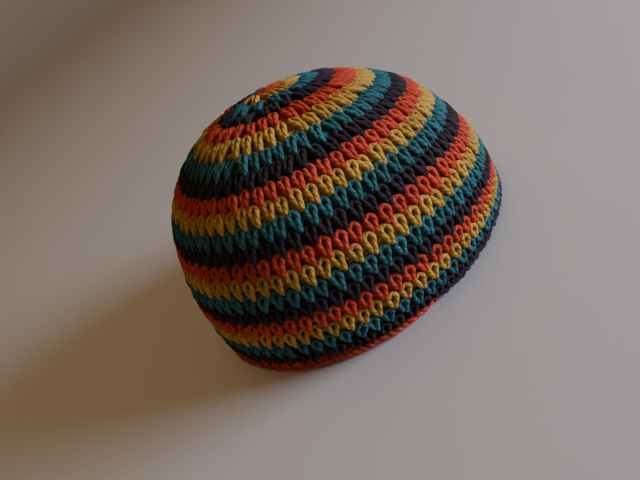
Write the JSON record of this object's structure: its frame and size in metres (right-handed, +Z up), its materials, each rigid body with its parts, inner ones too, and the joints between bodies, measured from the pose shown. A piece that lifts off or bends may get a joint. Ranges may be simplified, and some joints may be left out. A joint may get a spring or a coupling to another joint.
{
  "type": "crocheted beanie",
  "caption": "Skull-cap beanie crocheted from the crown down, its coloured yarns winding side by side in one spiral to a level rim.",
  "frame": {"origin": "on the ground plane that the rim rests on, under the middle of the whole hat", "axes": "+Z up from the rim to the crown, -Y toward the side that the picture shows, +X toward the picture's right, where the head under the hat looks"},
  "size_m": [0.1915, 0.1917, 0.1181],
  "materials": {
    "orange_yarn": "crocheted orange-red yarn, matt",
    "gold_yarn": "crocheted gold yarn, matt",
    "teal_yarn": "crocheted teal yarn, matt",
    "dark_yarn": "crocheted near-black yarn, matt"
  },
  "bodies": {
    "root": {"orange_strand": "orange_yarn", "gold_strand": "gold_yarn", "teal_strand": "teal_yarn", "dark_strand": "dark_yarn"}
  },
  "joints": []
}
